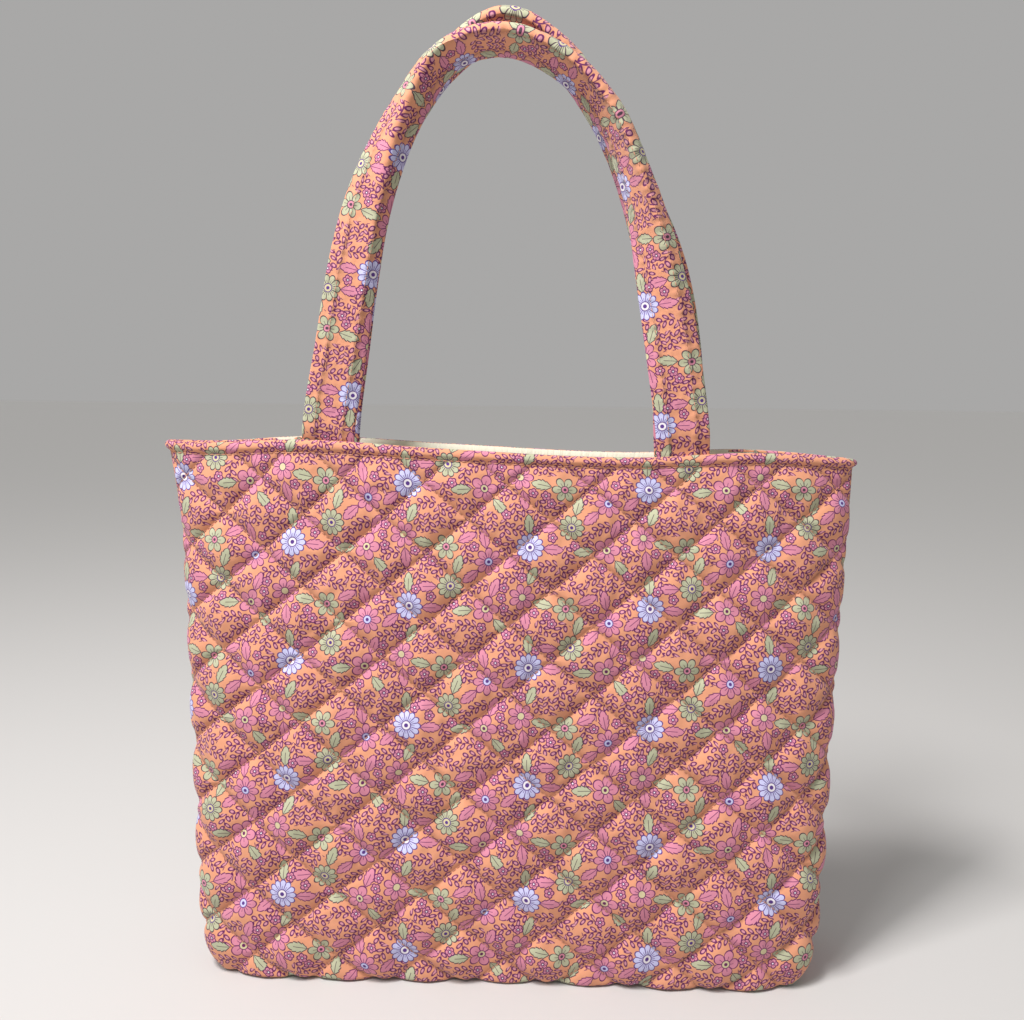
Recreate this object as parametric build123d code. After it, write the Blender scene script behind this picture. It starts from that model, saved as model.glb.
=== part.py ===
from build123d import *
import math
import os

# Knitting tote, millimetres. Origin: middle of the base, on the surface it stands on.
# X runs along the bag's width, Y through its depth (front is -Y), Z is up.

# ---- driving dimensions -------------------------------------------------------------
RIM_HEIGHT = 330.0          # base to the turned upper edge
RIM_ROLL = 8.0              # turned edge, down to its topstitch line
RIM_HALF_WIDTH = 210.0      # side seam at the mouth
MOUTH_HALF_DEPTH = 24.0     # middle of the mouth
BASE_HALF_DEPTH = 45.0      # boxed base
SEAM_GAP = 0.6              # room between front and back panels at the side seams
SEAM_THREAD = 0.4
SIDE_SEAM_FOOT = 6.0        # side seams start this high
SEAM_TOP = RIM_HEIGHT - RIM_ROLL - 2.0
BASE_SEAM_HALF = 160.0
RIM_THREAD = 0.8            # height of the stitch lines along the rim
RIM_SEAM_RISE = 1.0         # hidden rim seam above the topstitch
WADDING_STOP = 1.0          # wadding ends this far below the strap ends
LINING_DROP = 0.5           # lining's edge below the outer rim

# distance of each cloth layer's two faces in from the outside of the bag
OUTER = (0.0, 1.2)
OUTER_TURNED = (0.0, 2.2)   # the outer cloth is doubled where it turns in at the rim
QUILTING = (1.3, 1.6)
WADDING = (1.7, 4.6)
LINING = (4.9, 5.9)
OUTER_SEAM = (0.3, 0.9)     # side and base seam threads
LINING_SEAM = (5.2, 5.6)
TAIL = (2.5, 4.2)           # strap ends sewn in behind the turned edge
RIM_SEAM = (4.35, 4.65)     # thread that joins outer, strap ends and lining
TOPSTITCH = (-0.45, -0.1)

# section of the bag at each height: (height, half width, half depth, squareness)
PROFILE = [
    (0.0, 172.0, 37.0, 7.0),
    (5.0, 181.0, 42.0, 6.5),
    (16.0, 190.0, 44.5, 6.0),
    (40.0, 198.0, BASE_HALF_DEPTH, 5.0),
    (110.0, 200.0, 43.0, 3.6),
    (200.0, 199.0, 37.0, 2.7),
    (275.0, 202.0, 30.0, 2.1),
    (RIM_HEIGHT, RIM_HALF_WIDTH, MOUTH_HALF_DEPTH, 1.8),
]
SECTION_POINTS = 32
OVERRUN = 20.0              # how far the layer solids run past the rim before they are cut

# quilting: two crossing families of lines on the panels
QUILT_RISE = 38.0           # degrees from the horizontal
QUILT_SPACING = 33.0        # between neighbouring lines
QUILT_THREAD_WIDTH = 0.8
QUILT_TOP = 318.0

# straps
STRAP_WIDTH = 32.0
STRAP_THICKNESS = 4.0
STRAP_CLOTH = 0.8
STRAP_CORE_CLEARANCE = 0.1
STRAP_HALF_SPAN = 106.0     # middle of each strap foot from the middle of the bag
STRAP_STATIONS = 24
STATION_NUDGE = 0.01        # share of the arch used to find its direction
STRAP_ARCH_POWER = 1.95
STRAP_TILT = 44.0           # degrees that the band leans over at the top of the arch
STITCH_INSET = 7.5          # topstitch line in from each strap edge
STITCH_WIDTH = 0.6
STITCH_HEIGHT = 0.35
STITCH_CLEARANCE = 0.05
FOLD_HEIGHT = 333.0         # line about which a strap folds over the rim
FOLD_DEPTH = 23.7
FRONT_STRAP = {"side": -1, "rise": 228.0, "top_depth": -9.0}
BACK_STRAP = {"side": 1, "rise": 242.0, "top_depth": 8.0}
TAIL_DEPTH = 12.0           # sewn-in length of a strap end below the rim
TAIL_STUB = 0.5             # what stands out of the rim

SPAN = 1200.0               # larger than the bag, for cutting blocks


def signed_power(value, power):
    return math.copysign(abs(value) ** power, value)


def section(height, half_width, half_depth, squareness, inset):
    """Closed superellipse section, moved in by inset from the outside of the bag."""
    lift = inset * (1.0 - min(height, RIM_HEIGHT) / RIM_HEIGHT)
    power = 2.0 / squareness
    points = []
    for index in range(SECTION_POINTS):
        angle = 2.0 * math.pi * index / SECTION_POINTS
        x = (half_width - inset) * signed_power(math.cos(angle), power)
        y = (half_depth - inset) * signed_power(math.sin(angle), power)
        points.append((x, y, height + lift))
    return Wire.make_polygon([Vector(*point) for point in points], close=True)


def bag_volume(inset):
    """Everything inside the bag's surface, moved in by inset, open above the rim."""
    top = (RIM_HEIGHT + OVERRUN,) + PROFILE[-1][1:]
    wires = [section(*level, inset) for level in PROFILE + [top]]
    return Solid.make_loft(wires, ruled=True)


def block(x_range, y_range, z_range):
    size = [high - low for low, high in (x_range, y_range, z_range)]
    middle = [(high + low) / 2.0 for low, high in (x_range, y_range, z_range)]
    return Pos(*middle) * Box(*size)


def front_block(z_range):
    return block((-SPAN, SPAN), (-SPAN, -SEAM_GAP / 2.0), z_range)


def back_block(z_range):
    return block((-SPAN, SPAN), (SEAM_GAP / 2.0, SPAN), z_range)


def layer(faces):
    """One cloth layer all round the bag, between two distances from the outside."""
    return bag_volume(faces[0]) - bag_volume(faces[1])


def halves(shape, z_range):
    return shape & front_block(z_range), shape & back_block(z_range)


def outer_panels():
    wall = halves(layer(OUTER), (-SPAN, RIM_HEIGHT))
    turned = halves(layer(OUTER_TURNED), (RIM_HEIGHT - RIM_ROLL, RIM_HEIGHT))
    return wall[0] + turned[0], wall[1] + turned[1]


def wadding():
    return halves(layer(WADDING), (-SPAN, RIM_HEIGHT - TAIL_DEPTH - WADDING_STOP))


def lining():
    return halves(layer(LINING), (-SPAN, RIM_HEIGHT - LINING_DROP))


def quilting_lattice():
    """Both families of quilting lines, as one upright lattice through the panels."""
    reach = int(RIM_HEIGHT / QUILT_SPACING)
    lines = []
    for lean in (QUILT_RISE, -QUILT_RISE):
        for index in range(-reach, reach):
            offset = (index + 0.5) * QUILT_SPACING
            line = Rectangle(SPAN, QUILT_THREAD_WIDTH)
            lines.append(Rot(0, 0, lean) * Pos(0, offset) * line)
    flat = Sketch() + lines
    upright = Plane.XZ.offset(-SPAN / 2.0) * Pos(0, RIM_HEIGHT / 2.0) * flat
    return extrude(upright, SPAN)


def quilting_threads():
    """Thread lines that lie between the outer cloth and the wadding."""
    front, back = halves(layer(QUILTING), (BASE_HALF_DEPTH, QUILT_TOP))
    lattice = quilting_lattice()
    return front & lattice, back & lattice


def rim_topstitch():
    middle = RIM_HEIGHT - RIM_ROLL
    return halves(layer(TOPSTITCH), (middle - RIM_THREAD / 2.0, middle + RIM_THREAD / 2.0))


def rim_seam():
    middle = RIM_HEIGHT - RIM_ROLL + RIM_SEAM_RISE
    return halves(layer(RIM_SEAM), (middle - RIM_THREAD / 2.0, middle + RIM_THREAD / 2.0))


def seam_threads():
    """Side seams and base seam of the outer cloth, in the gap between its panels."""
    gap = (-SEAM_THREAD / 2.0, SEAM_THREAD / 2.0)
    wall = layer(OUTER_SEAM)
    heights = (SIDE_SEAM_FOOT, SEAM_TOP)
    left = wall & block((-SPAN, 0.0), gap, heights)
    right = wall & block((0.0, SPAN), gap, heights)
    base_reach = (-BASE_SEAM_HALF, BASE_SEAM_HALF)
    base = wall & block(base_reach, gap, (-SPAN, SIDE_SEAM_FOOT))
    return left, right, base


def lining_seam_thread():
    gap = (-SEAM_THREAD / 2.0, SEAM_THREAD / 2.0)
    return layer(LINING_SEAM) & block((-SPAN, SPAN), gap, (-SPAN, SEAM_TOP))


def strap_tails(strap):
    """Both sewn-in ends of one strap, behind the turned edge of the panel."""
    sheet = layer(TAIL)
    z_range = (RIM_HEIGHT - TAIL_DEPTH, RIM_HEIGHT + TAIL_STUB)
    y_range = (0.0, SPAN) if strap["side"] > 0 else (-SPAN, 0.0)
    ends = []
    for end in (-1, 1):
        middle = end * STRAP_HALF_SPAN
        x_range = (middle - STRAP_WIDTH / 2.0, middle + STRAP_WIDTH / 2.0)
        ends.append(sheet & block(x_range, y_range, z_range))
    return ends[0] + ends[1]


def arch_point(strap, step):
    """Middle of the band at one station, from the left foot (0) to the right foot (1)."""
    angle = math.pi * step
    power = 2.0 / STRAP_ARCH_POWER
    x = -STRAP_HALF_SPAN * signed_power(math.cos(angle), power)
    climb = abs(math.sin(angle)) ** power
    foot_depth = strap["side"] * FOLD_DEPTH
    y = foot_depth + (strap["top_depth"] - foot_depth) * climb
    return Vector(x, y, FOLD_HEIGHT + strap["rise"] * climb)


def band_wire(strap, index, across, through):
    """Rectangle across the band at one station, between two distances each way."""
    step = index / STRAP_STATIONS
    before = arch_point(strap, max(step - STATION_NUDGE, 0.0))
    after = arch_point(strap, min(step + STATION_NUDGE, 1.0))
    along = Vector(0, 0, 1 if step < 0.5 else -1)
    if 0 < index < STRAP_STATIONS:
        along = (after - before).normalized()
    middle = arch_point(strap, step)
    flat_normal = Vector(0, -1, 0)
    outward = along.cross(flat_normal).normalized()
    normal = outward.cross(along).normalized()
    tilt = math.radians(STRAP_TILT) * math.sin(math.pi * step) ** 2
    width_way = outward * math.cos(tilt) - normal * math.sin(tilt)
    thick_way = normal * math.cos(tilt) + outward * math.sin(tilt)
    corners = []
    for u, v in ((0, 0), (1, 0), (1, 1), (0, 1)):
        corners.append(middle + width_way * across[u] + thick_way * through[v])
    return Wire.make_polygon(corners, close=True)


def band(strap, across, through):
    """Solid that follows the strap's arch from foot to foot."""
    wires = [band_wire(strap, i, across, through) for i in range(STRAP_STATIONS + 1)]
    return Solid.make_loft(wires, ruled=True)


def strap_sleeve(strap):
    edge = STRAP_WIDTH / 2.0
    face = STRAP_THICKNESS / 2.0
    whole = band(strap, (-edge, edge), (-face, face))
    edge -= STRAP_CLOTH
    face -= STRAP_CLOTH
    return whole - band(strap, (-edge, edge), (-face, face))


def strap_core(strap):
    edge = STRAP_WIDTH / 2.0 - STRAP_CLOTH - STRAP_CORE_CLEARANCE
    face = STRAP_THICKNESS / 2.0 - STRAP_CLOTH - STRAP_CORE_CLEARANCE
    return band(strap, (-edge, edge), (-face, face))


def strap_topstitch(strap):
    """Two rows of stitches on each face of the strap."""
    rows = []
    low = STRAP_THICKNESS / 2.0 + STITCH_CLEARANCE
    high = low + STITCH_HEIGHT
    for row in (-1, 1):
        middle = row * (STRAP_WIDTH / 2.0 - STITCH_INSET)
        across = (middle - STITCH_WIDTH / 2.0, middle + STITCH_WIDTH / 2.0)
        rows.append(band(strap, across, (low, high)))
        rows.append(band(strap, across, (-high, -low)))
    return rows


def as_one(shape):
    """Group of separate solids for one node."""
    if isinstance(shape, (list, tuple)):
        solids = [solid for item in shape for solid in item.solids()]
    else:
        solids = list(shape.solids())
    return solids[0] if len(solids) == 1 else Compound(children=solids)


def save(name, shape):
    export_step(as_one(shape), f"parts/{name}.step")


def build():
    os.makedirs("parts", exist_ok=True)
    pairs = {
        "outer_{}_panel": outer_panels(),
        "wadding_{}": wadding(),
        "lining_{}": lining(),
        "quilting_thread_{}": quilting_threads(),
        "rim_topstitch_{}": rim_topstitch(),
        "rim_seam_thread_{}": rim_seam(),
    }
    for name, (front, back) in pairs.items():
        save(name.format("front"), front)
        save(name.format("back"), back)
    left, right, base = seam_threads()
    save("side_seam_thread_left", left)
    save("side_seam_thread_right", right)
    save("base_seam_thread", base)
    save("lining_seam_thread", lining_seam_thread())
    for name, strap in (("front_strap", FRONT_STRAP), ("back_strap", BACK_STRAP)):
        save(name, strap_sleeve(strap))
        save(f"{name}_core", strap_core(strap))
        save(f"{name}_topstitch", strap_topstitch(strap))
        save(f"{name}_tails", strap_tails(strap))


build()
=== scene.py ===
import math

import bpy
import numpy as np
from mathutils import Matrix, Vector


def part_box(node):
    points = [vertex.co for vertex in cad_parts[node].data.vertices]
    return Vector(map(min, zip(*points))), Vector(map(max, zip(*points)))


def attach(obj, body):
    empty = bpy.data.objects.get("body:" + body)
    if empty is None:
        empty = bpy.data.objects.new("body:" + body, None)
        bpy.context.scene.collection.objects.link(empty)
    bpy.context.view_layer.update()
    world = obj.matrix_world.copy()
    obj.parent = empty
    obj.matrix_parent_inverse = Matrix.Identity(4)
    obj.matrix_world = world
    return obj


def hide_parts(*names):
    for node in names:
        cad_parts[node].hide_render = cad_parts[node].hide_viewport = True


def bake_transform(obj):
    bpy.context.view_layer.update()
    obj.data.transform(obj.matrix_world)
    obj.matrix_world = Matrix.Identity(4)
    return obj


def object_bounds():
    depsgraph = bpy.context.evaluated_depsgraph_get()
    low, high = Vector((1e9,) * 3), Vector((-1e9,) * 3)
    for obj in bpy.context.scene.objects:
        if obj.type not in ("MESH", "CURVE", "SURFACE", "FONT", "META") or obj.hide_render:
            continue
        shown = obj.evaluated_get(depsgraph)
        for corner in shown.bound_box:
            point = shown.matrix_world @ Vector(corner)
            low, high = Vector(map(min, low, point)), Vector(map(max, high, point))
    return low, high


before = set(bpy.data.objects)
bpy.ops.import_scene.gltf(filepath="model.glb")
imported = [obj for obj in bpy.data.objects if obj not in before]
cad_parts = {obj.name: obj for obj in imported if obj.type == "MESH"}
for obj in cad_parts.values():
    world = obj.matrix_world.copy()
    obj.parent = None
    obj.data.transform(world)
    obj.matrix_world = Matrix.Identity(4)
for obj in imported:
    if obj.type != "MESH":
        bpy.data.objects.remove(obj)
CAD_LOW, CAD_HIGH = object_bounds()

# ---- sizes, in millimetres, worked out from the frame ---------------------------------
MM = 0.001
panel_low, panel_high = (Vector(corner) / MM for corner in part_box("outer_front_panel"))
RIM_Z = panel_high.z
RIM_HALF = panel_high.x
BASE_HALF = -panel_low.y

# Sections of the bag down its front: (height, half width, half depth, squareness), each
# as a share of the CAD panel's height, half width and base half depth.
PROFILE = [
    (1.000, 1.006, 0.500, 1.80),
    (0.970, 1.000, 0.520, 1.85),
    (0.833, 0.984, 0.620, 2.10),
    (0.606, 0.968, 0.770, 2.70),
    (0.333, 0.948, 0.900, 3.60),
    (0.121, 0.932, 0.965, 5.00),
    (0.048, 0.910, 0.985, 6.00),
    (0.015, 0.890, 0.980, 6.50),
    (0.000, 0.870, 0.945, 7.00),
]
SIDE_LEAN = 3.0             # the filled wall leans this far to the right below the rim
LEAN_REACH = 45.0           # and reaches that lean at this distance down the cloth
BASE_REACH = 75.0           # the base shapes the cloth this far up the wall
BASE_BOW_WIDTH = 110.0
BASE_BOW = 4.5              # the base's long edges pull in at the middle
# How far the rim stands above or below level at each place across the bag.
RIM_WAVE = [(-214, 3), (-190, 2), (-125, 5), (-40, 1), (80, -3), (150, 0), (214, -4)]
RIM_WAVE_REACH = 70.0
CORNER_LIFT = 4.0           # the boxed corner's lower edge rises towards the side seam

# ---- quilting grid --------------------------------------------------------------------
DIAMOND_WIDTH = 50.4
DIAMOND_HEIGHT = 42.0
STEPS = 16                  # grid steps across one diamond
CELL_U = DIAMOND_WIDTH / STEPS
CELL_V = DIAMOND_HEIGHT / STEPS
CELLS_TO_SEAM = 68          # from the middle of a panel to its side seam
CLOTH_HALF = CELLS_TO_SEAM * CELL_U
FIRST_CROSSING = 20.0       # below the rim
TOPSTITCH_V = FIRST_CROSSING - 5 * CELL_V
PUFF = 3.5                  # the fullest puffs stand out this far
PILLOW_POWER = 0.42         # below 1 makes them flat-topped with steep sides
SEAM_FADE = 24.0            # the puffs die away over this distance from a side seam
RIM_FADE = 16.0             # and over this distance from the rim topstitch
STITCH_SINK = 1.6           # the sewn lines pull this far into the wadding
BASE_ROWS = 15
CREASE_DEPTH = 1.5          # the fine valley along each sewn line
CREASE_REACH = 1.9
CLOTH_FRAMES = 16
CLOTH_CAP = 1.7             # furthest the simulation may move the cloth

# The turned edge, from the topstitch over the top: (below the rim, out from the wall)
ROLL = [(6.2, -0.2), (5.3, 1.0), (4.1, 1.8), (2.8, 1.9), (1.6, 1.4), (0.7, 0.6), (0.1, -0.5),
        (0.0, -1.7), (0.5, -2.6), (1.6, -3.0)]


def smooth(values, reach):
    """Moving average with fixed ends, twice."""
    for _ in range(2):
        padded = np.concatenate([2 * values[0] - values[reach:0:-1], values,
                                 2 * values[-1] - values[-2:-reach - 2:-1]])
        values = np.convolve(padded, np.ones(2 * reach + 1) / (2 * reach + 1), "valid")
    return values


def running(steps):
    """Running total of steps, from zero."""
    return np.concatenate([[0.0], np.cumsum(steps)])


def curve_through(stations, count):
    """Smooth curve through given stations, at even steps of the first column or of length."""
    table = np.array(stations, dtype=float)
    if table.shape[1] == 2:
        run = table[:, 0]
    else:
        run = running(np.hypot(*np.diff(table[:, :2], axis=0).T))
    slope = np.gradient(table, run, axis=0)
    even = np.linspace(run[0], run[-1], count)
    k = np.clip(np.searchsorted(run, even, "right") - 1, 0, len(run) - 2)
    gap = (run[k + 1] - run[k])[:, None]
    t = (even - run[k])[:, None] / gap
    rows = (table[k] * (1 + 2 * t) * (1 - t) ** 2 + table[k + 1] * t ** 2 * (3 - 2 * t)
            + gap * (slope[k] * t * (1 - t) ** 2 - slope[k + 1] * t ** 2 * (1 - t)))
    return rows[:, 1] if table.shape[1] == 2 else rows


def profile_tables():
    """Height, half width, half depth and squareness for each millimetre of cloth."""
    levels = (np.array(PROFILE) * (RIM_Z, RIM_HALF, BASE_HALF, 1.0))[::-1]
    heights = np.linspace(levels[0, 0], levels[-1, 0], 1200)
    columns = [np.interp(heights, levels[:, 0], levels[:, k]) for k in (1, 2, 3)]
    table = np.column_stack([heights] + columns)[::-1]
    steps = np.hypot(np.diff(table[:, 0]), np.diff(table[:, 2]))
    run = running(steps)
    even = np.arange(0.0, run[-1], 1.0)
    resampled = np.column_stack([np.interp(even, run, table[:, k]) for k in range(4)])
    for k in range(1, 4):
        resampled[:, k] = smooth(resampled[:, k], 9)
    return even, resampled


PROFILE_V, PROFILE_ROWS = profile_tables()
WALL_V = PROFILE_V[-1]


def half_section(half_width, half_depth, squareness, count=720):
    """Front half of one section, left seam to right seam, with its running share of length."""
    angle = np.linspace(math.pi, 2 * math.pi, count)
    power = 2.0 / squareness
    x = half_width * np.sign(np.cos(angle)) * np.abs(np.cos(angle)) ** power
    y = -half_depth * np.abs(np.sin(angle)) ** power
    run = running(np.hypot(np.diff(x), np.diff(y)))
    return x, y, run / run[-1]


def waves(u, v, seed, scale, count=7):
    """Smooth seeded unevenness between about -1 and 1."""
    rng = np.random.default_rng(seed)
    total = np.zeros(np.broadcast(u, v).shape)
    for _ in range(count):
        direction = rng.uniform(0, 2 * math.pi)
        length = scale * rng.uniform(0.6, 1.6)
        phase = rng.uniform(0, 2 * math.pi)
        total += np.sin((u * math.cos(direction) + v * math.sin(direction)) * 2 * math.pi / length + phase)
    return total / math.sqrt(count)


def wall_rows(cloth_v, cloth_u, inset=0.0):
    """Points of the bag's front wall for rows at cloth_v and columns at cloth_u."""
    share = (cloth_u + CLOTH_HALF) / (2 * CLOTH_HALF)
    insets = np.broadcast_to(inset, len(cloth_v))
    rows = np.zeros((len(cloth_v), len(cloth_u), 3))
    wave_x = np.linspace(RIM_WAVE[0][0], RIM_WAVE[-1][0], 200)
    wave_z = curve_through(RIM_WAVE, len(wave_x))
    for i, v in enumerate(cloth_v):
        z, a, b, n = (np.interp(v, PROFILE_V, PROFILE_ROWS[:, k]) for k in range(4))
        x, y, run = half_section(a - insets[i], b - insets[i], n)
        rows[i, :, 0] = np.interp(share, run, x)
        rows[i, :, 1] = np.interp(share, run, y)
        rim_share = max(0.0, 1.0 - v / RIM_WAVE_REACH) ** 2
        rows[i, :, 2] = z + rim_share * np.interp(rows[i, :, 0], wave_x, wave_z)
        near_base = np.clip((v - WALL_V + BASE_REACH) / BASE_REACH, 0, 1) ** 2
        towards_end = np.clip((np.abs(rows[i, :, 0]) / a - 0.9) / 0.1, 0, 1)
        towards_seam = 1.0 - np.abs(rows[i, :, 1]) / max(b, 1.0)
        rows[i, :, 2] += CORNER_LIFT * near_base * towards_end * towards_seam ** 1.5
        middle = np.exp(-(rows[i, :, 0] / BASE_BOW_WIDTH) ** 2)
        rows[i, :, 1] += BASE_BOW * near_base * middle * (-rows[i, :, 1] / b)
        rows[i, :, 0] += SIDE_LEAN * min(1.0, v / LEAN_REACH)
    return rows


def grid_normals(points):
    across = np.gradient(points, axis=1)
    down = np.gradient(points, axis=0)
    normal = np.cross(down, across)
    return normal / np.maximum(np.linalg.norm(normal, axis=2, keepdims=True), 1e-9)


def quilt_lines(u, v):
    """The two families' line numbers: whole on a stitch line."""
    return (u / DIAMOND_WIDTH + (v - FIRST_CROSSING) / DIAMOND_HEIGHT,
            u / DIAMOND_WIDTH - (v - FIRST_CROSSING) / DIAMOND_HEIGHT)


def puff_height(u, v, seed):
    """How far the quilted cloth stands out between its stitch lines."""
    p, q = quilt_lines(u, v)
    pillow = (np.abs(np.sin(math.pi * p)) * np.abs(np.sin(math.pi * q))) ** PILLOW_POWER
    below_rim = np.clip((v - TOPSTITCH_V) / RIM_FADE, 0, 1) ** 0.7
    fuller_low = 0.72 + 0.28 * np.clip(v / 200.0, 0, 1)
    from_seam = np.clip((CLOTH_HALF - np.abs(u)) / SEAM_FADE, 0, 1) ** 0.6
    uneven = 1.0 + 0.12 * waves(u, v, seed, 60.0)
    return PUFF * pillow * below_rim * fuller_low * from_seam * uneven


def add_object(name, data):
    obj = bpy.data.objects.new(name, data)
    bpy.context.scene.collection.objects.link(obj)
    return obj


def make_mesh(name, points, faces, uvs=None):
    """New object from points in millimetres, with one corner UV per face corner."""
    mesh = bpy.data.meshes.new(name)
    mesh.from_pydata((np.asarray(points) * MM).tolist(), [], faces)
    if uvs is not None:
        layer = mesh.uv_layers.new(name="Cloth")
        layer.data.foreach_set("uv", np.asarray(uvs, dtype=np.float32).ravel())
    mesh.validate()
    for polygon in mesh.polygons:
        polygon.use_smooth = True
    return add_object(name, mesh)


def grid_faces(rows, columns, closed=False, flip=False):
    """Quads of a grid whose points run row by row."""
    faces = []
    last = columns if closed else columns - 1
    for i in range(rows - 1):
        for j in range(last):
            k = (j + 1) % columns
            face = (i * columns + j, i * columns + k, (i + 1) * columns + k, (i + 1) * columns + j)
            faces.append(face[::-1] if flip else face)
    return faces


def quilted_panel(name, side, seed):
    """One outer panel: turned edge, quilted wall and its half of the base, as one cloth."""
    cloth_u = np.linspace(-CLOTH_HALF, CLOTH_HALF, 2 * CELLS_TO_SEAM + 1)
    wall_v = np.arange(TOPSTITCH_V, WALL_V + 0.5 * CELL_V, CELL_V)
    wall_v = np.minimum(wall_v, WALL_V)
    rim_v = np.array([drop for drop, _ in ROLL[::-1]])
    rim_out = np.array([out for _, out in ROLL[::-1]])
    grid_v = np.concatenate([rim_v, wall_v])
    points = wall_rows(grid_v, cloth_u)
    level = wall_rows(wall_v, cloth_u)
    normals = grid_normals(level)
    crest = np.repeat(normals[:1], len(rim_v), axis=0)
    crest[:, :, 2] = 0.0
    crest /= np.linalg.norm(crest, axis=2, keepdims=True)
    crest[:, 0] = (-1.0, 0.0, 0.0)
    crest[:, -1] = (1.0, 0.0, 0.0)
    pucker = 1.0 + 0.10 * waves(cloth_u, 0.0, seed + 5, 14.0)
    at_seam = 1.0 + 0.3 * np.clip((np.abs(cloth_u) - CLOTH_HALF + 14.0) / 14.0, 0, 1) ** 2
    points[:len(rim_v)] += crest * (rim_out[:, None] * pucker * at_seam)[:, :, None]
    grid_u, wall_grid_v = np.meshgrid(cloth_u, wall_v)
    p, q = quilt_lines(grid_u, wall_grid_v)
    sewn = (np.abs(p - np.round(p)) < 0.01) | (np.abs(q - np.round(q)) < 0.01)
    height = puff_height(grid_u, wall_grid_v, seed)
    height -= STITCH_SINK * sewn * np.clip((wall_grid_v - TOPSTITCH_V) / 8.0, 0, 1)
    points[len(rim_v):] += normals * height[:, :, None]
    base, base_uv = base_rows(level[-1], wall_v[-1])
    points = np.concatenate([points, base])
    uv_u = np.repeat(cloth_u[None, :], len(grid_v), axis=0)
    uv_v = np.repeat(grid_v[:, None], len(cloth_u), axis=1)
    uv_v[:len(rim_v)] = rim_cloth()[:, None]
    wall_uv = np.stack([uv_u, uv_v], axis=2)
    edge_uv = base_edge(level[-1], wall_v[-1])
    corner_uvs = face_uvs(wall_uv) + face_uvs(np.concatenate([edge_uv, base_uv]))
    faces = grid_faces(len(points), len(cloth_u), flip=side < 0)
    if side > 0:
        points = points * (1, -1, 1)
    else:
        corner_uvs = [uv[::-1] for uv in corner_uvs]
    obj = make_mesh(name, points.reshape(-1, 3), faces, np.concatenate(corner_uvs))
    sewn[:2] = True
    sewn[:, (0, -1)] = True
    held = np.ones(points.shape[:2], dtype=bool)
    held[len(rim_v):len(grid_v)] = sewn
    fill_out(obj, held.ravel())
    subdivide(obj)
    settled = np.array([v.co for v in obj.data.vertices][:held.size]).reshape(points.shape) / MM
    return obj, cloth_u, wall_v, settled[len(rim_v):len(grid_v)]


def fill_out(obj, held):
    """Lets the cloth between its sewn lines swell over the wadding and pucker."""
    group = obj.vertex_groups.new(name="sewn")
    group.add([int(k) for k in np.flatnonzero(held)], 1.0, "REPLACE")
    start = np.array([v.co for v in obj.data.vertices])
    modifier = obj.modifiers.new("Cloth", "CLOTH")
    settings = modifier.settings
    settings.vertex_group_mass = "sewn"
    settings.quality = 5
    settings.mass = 0.2
    settings.tension_stiffness = 20.0
    settings.compression_stiffness = 20.0
    settings.shear_stiffness = 6.0
    settings.bending_stiffness = 1.2
    settings.shrink_min = -0.03
    settings.use_pressure = True
    settings.uniform_pressure_force = 1.5
    settings.effector_weights.gravity = 0.0
    modifier.collision_settings.use_collision = False
    scene = bpy.context.scene
    for moment in range(1, CLOTH_FRAMES + 1):
        scene.frame_set(moment)
    grown = obj.evaluated_get(bpy.context.evaluated_depsgraph_get())
    end = np.array([v.co for v in grown.data.vertices])
    step = end - start
    size = np.linalg.norm(step, axis=1, keepdims=True)
    step *= np.minimum(1.0, CLOTH_CAP * MM / np.maximum(size, 1e-9))
    obj.modifiers.remove(modifier)
    obj.vertex_groups.remove(group)
    scene.frame_set(1)
    obj.data.vertices.foreach_set("co", (start + step).ravel())
    obj.data.update()


def subdivide(obj):
    modifier = obj.modifiers.new("Smooth", "SUBSURF")
    modifier.levels = 1
    finer = bpy.data.meshes.new_from_object(obj.evaluated_get(bpy.context.evaluated_depsgraph_get()))
    obj.modifiers.remove(modifier)
    obj.data = finer


def on_panel(u, v, cloth_u, wall_v, surface):
    """Points of a settled panel at cloth places."""
    column = (np.asarray(u) - cloth_u[0]) / CELL_U
    row = (np.asarray(v) - wall_v[0]) / CELL_V
    j = np.clip(column.astype(int), 0, len(cloth_u) - 2)
    i = np.clip(row.astype(int), 0, len(wall_v) - 2)
    fu, fv = (column - j)[:, None], (row - i)[:, None]
    top = surface[i, j] * (1 - fu) + surface[i, j + 1] * fu
    low = surface[i + 1, j] * (1 - fu) + surface[i + 1, j + 1] * fu
    return top * (1 - fv) + low * fv


def outward(points, side):
    """Horizontal direction out of the wall at points near it."""
    normal = np.stack([points[:, 0] * 0.0, np.full(len(points), float(side)), points[:, 0] * 0.0], axis=1)
    normal[:, 0] = np.sign(points[:, 0]) * np.clip((np.abs(points[:, 0]) - 150.0) / 60.0, 0, 1) ** 2
    return normal / np.linalg.norm(normal, axis=1, keepdims=True)


def quilting_stitches(name, side, cloth_u, wall_v, surface):
    """The two families of running stitches that hold the wadding."""
    runs = []
    slope = DIAMOND_HEIGHT / DIAMOND_WIDTH
    lowest = wall_v[-1] - 2.0
    for way in (1, -1):
        for number in range(-12, 20):
            u = np.arange(-CLOTH_HALF + 1.5, CLOTH_HALF - 1.5, 0.8)
            v = FIRST_CROSSING + number * DIAMOND_HEIGHT - way * slope * u
            inside = (v > TOPSTITCH_V + 1.5) & (v < lowest)
            if inside.sum() < 12:
                continue
            line = on_panel(u[inside], v[inside], cloth_u, wall_v, surface)
            normals = outward(line, side)
            runs.append((line + 0.12 * normals, normals))
    return stitches(name, runs, *SEAM_STITCH)


def rim_cloth():
    """Cloth distance of the turned edge's rows, so that the print runs over it."""
    steps = np.hypot(np.diff([v for v, _ in ROLL]), np.diff([o for _, o in ROLL]))
    run = running(steps) + (TOPSTITCH_V - ROLL[0][0])
    return (TOPSTITCH_V - run)[::-1]


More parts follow.
